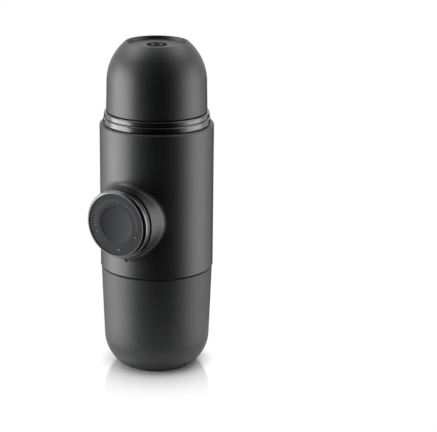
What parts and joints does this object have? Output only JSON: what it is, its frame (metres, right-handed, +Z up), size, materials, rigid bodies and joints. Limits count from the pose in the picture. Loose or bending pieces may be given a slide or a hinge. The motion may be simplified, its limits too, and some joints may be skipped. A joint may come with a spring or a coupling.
{
  "type": "handheld manual espresso maker",
  "caption": "Upright hand-pumped espresso maker: round-heeled water tank, tapered body with a piston knob on one side, outlet head, and an upturned cup as its lid.",
  "frame": {"origin": "centre of the flat base of the water tank, on the axis of the body", "axes": "+Z up the axis of the body, the piston knob faces -Y, +X to the right of someone who faces the knob"},
  "size_m": [0.06, 0.07, 0.175],
  "materials": {
    "tank_plastic": "soft-touch moulded, fine grain",
    "housing_plastic": "soft-touch moulded, fine grain",
    "cup_plastic": "soft-touch moulded, fine grain",
    "collar_plastic": "polished moulding",
    "knob_plastic": "satin moulding, polished bezel",
    "inner_plastic": "satin moulding",
    "steel": "stainless, brushed",
    "silicone": "food-grade silicone, matt"
  },
  "bodies": {
    "tank": {"water_tank": "tank_plastic"},
    "tank_seal": {"tank_seal": "silicone"},
    "main_body": {"main_housing": "housing_plastic", "base_plate": "inner_plastic", "pump_block": "inner_plastic", "cylinder_sleeve": "steel", "rod_guide": "inner_plastic", "bayonet_ring": "knob_plastic", "inlet_tube": "silicone", "outlet_valve_spring": "steel", "valve_retainer": "inner_plastic", "vent_valve": "silicone", "plate_screws": "steel", "shower_plate": "steel", "brew_gasket": "silicone", "return_spring": "steel"},
    "inlet_ball": {"inlet_valve_ball": "steel"},
    "outlet_ball": {"outlet_valve_ball": "steel"},
    "piston": {"piston_rod": "steel", "piston_seal": "silicone", "knob_screw": "steel"},
    "knob": {"knob": "knob_plastic", "knob_face": "knob_plastic"},
    "basket": {"filter_basket": "steel", "basket_screen": "steel"},
    "outlet_seal": {"outlet_seal": "silicone"},
    "outlet_head": {"outlet_collar": "collar_plastic", "outlet_dome": "inner_plastic", "spout_nozzle": "steel", "cup_seal": "silicone"},
    "cup": {"cup": "cup_plastic"}
  },
  "joints": [
    {"name": "body_lift", "type": "slide", "parent": "tank", "child": "tank_seal", "axis": [0, 0, 1], "range_m": [0, 0.06]},
    {"name": "body_turn", "type": "hinge", "parent": "tank_seal", "child": "main_body", "pos_m": [0, 0, 0.0549], "axis": [0, 0, 1], "range_deg": [0, 450]},
    {"name": "piston_slide", "type": "slide", "parent": "main_body", "child": "piston", "axis": [0, -1, 0], "range_m": [0, 0.02], "deforming": ["return_spring"]},
    {"name": "knob_turn", "type": "hinge", "parent": "piston", "child": "knob", "pos_m": [0, -0.0348, 0.0861], "axis": [0, 1, 0], "range_deg": [0, 45]},
    {"name": "inlet_ball_lift", "type": "slide", "parent": "main_body", "child": "inlet_ball", "axis": [0, 0, 1], "range_m": [0, 0.0012]},
    {"name": "outlet_ball_lift", "type": "slide", "parent": "main_body", "child": "outlet_ball", "axis": [0, 0, 1], "range_m": [0, 0.0012], "deforming": ["outlet_valve_spring"]},
    {"name": "basket_lift", "type": "slide", "parent": "main_body", "child": "basket", "axis": [0, 0, 1], "range_m": [0, 0.03]},
    {"name": "outlet_lift", "type": "slide", "parent": "main_body", "child": "outlet_seal", "axis": [0, 0, 1], "range_m": [0, 0.06]},
    {"name": "outlet_turn", "type": "hinge", "parent": "outlet_seal", "child": "outlet_head", "pos_m": [0, 0, 0.1321], "axis": [0, 0, 1], "range_deg": [0, 450]},
    {"name": "cup_lift", "type": "slide", "parent": "outlet_head", "child": "cup", "axis": [0, 0, 1], "range_m": [0, 0.06]}
  ],
  "couplings": [
    {"joint": "basket_lift", "follows": "outlet_lift", "ratio": 0.45}
  ]
}
